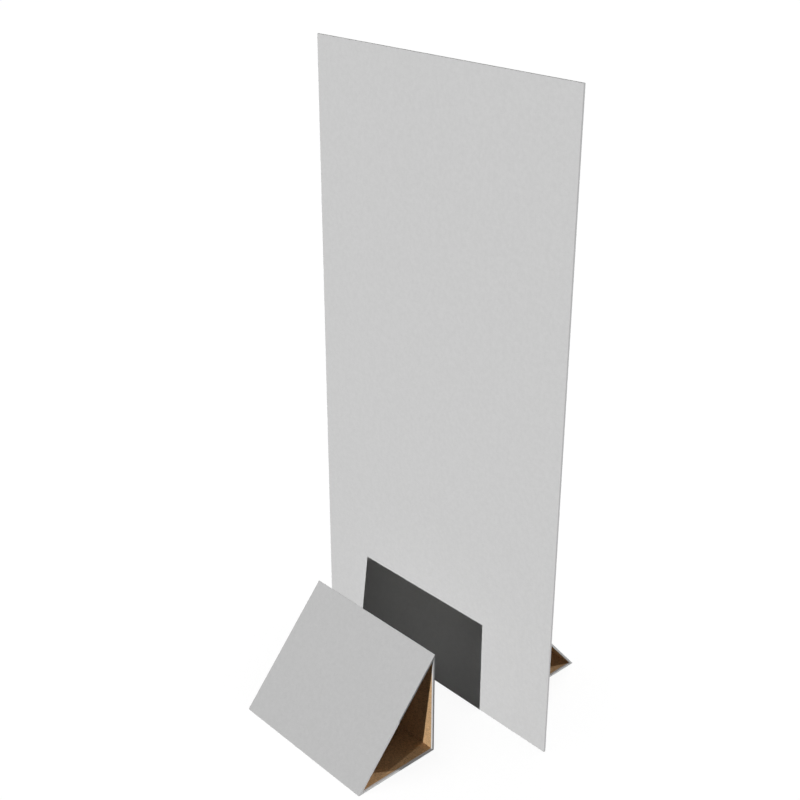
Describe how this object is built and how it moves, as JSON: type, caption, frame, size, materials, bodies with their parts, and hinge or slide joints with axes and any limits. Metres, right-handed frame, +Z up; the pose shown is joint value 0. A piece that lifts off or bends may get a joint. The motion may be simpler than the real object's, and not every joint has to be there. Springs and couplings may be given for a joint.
{
  "type": "cardboard display stand",
  "caption": "Tall flat cardboard display panel on its edge, with a folded triangular cardboard foot set out in front of it and another behind.",
  "frame": {"origin": "middle of the panel's bottom edge, on the floor", "axes": "+Z up along the panel's height, +X along its width, +Y from its front face to its back"},
  "size_m": [1, 0.9416, 2],
  "materials": {
    "white_lined_board": "matt white paper over corrugated board",
    "white_over_kraft_board": "matt white paper outside and on the cut edges, bare brown kraft inside",
    "tape_liner": "smooth release paper over double-sided tape"
  },
  "bodies": {
    "root": {"panel": "white_lined_board", "front_foot": "white_over_kraft_board", "front_lower_tape": "tape_liner", "front_upper_tape": "tape_liner", "rear_foot": "white_over_kraft_board", "rear_lower_tape": "tape_liner", "rear_upper_tape": "tape_liner"}
  },
  "joints": []
}
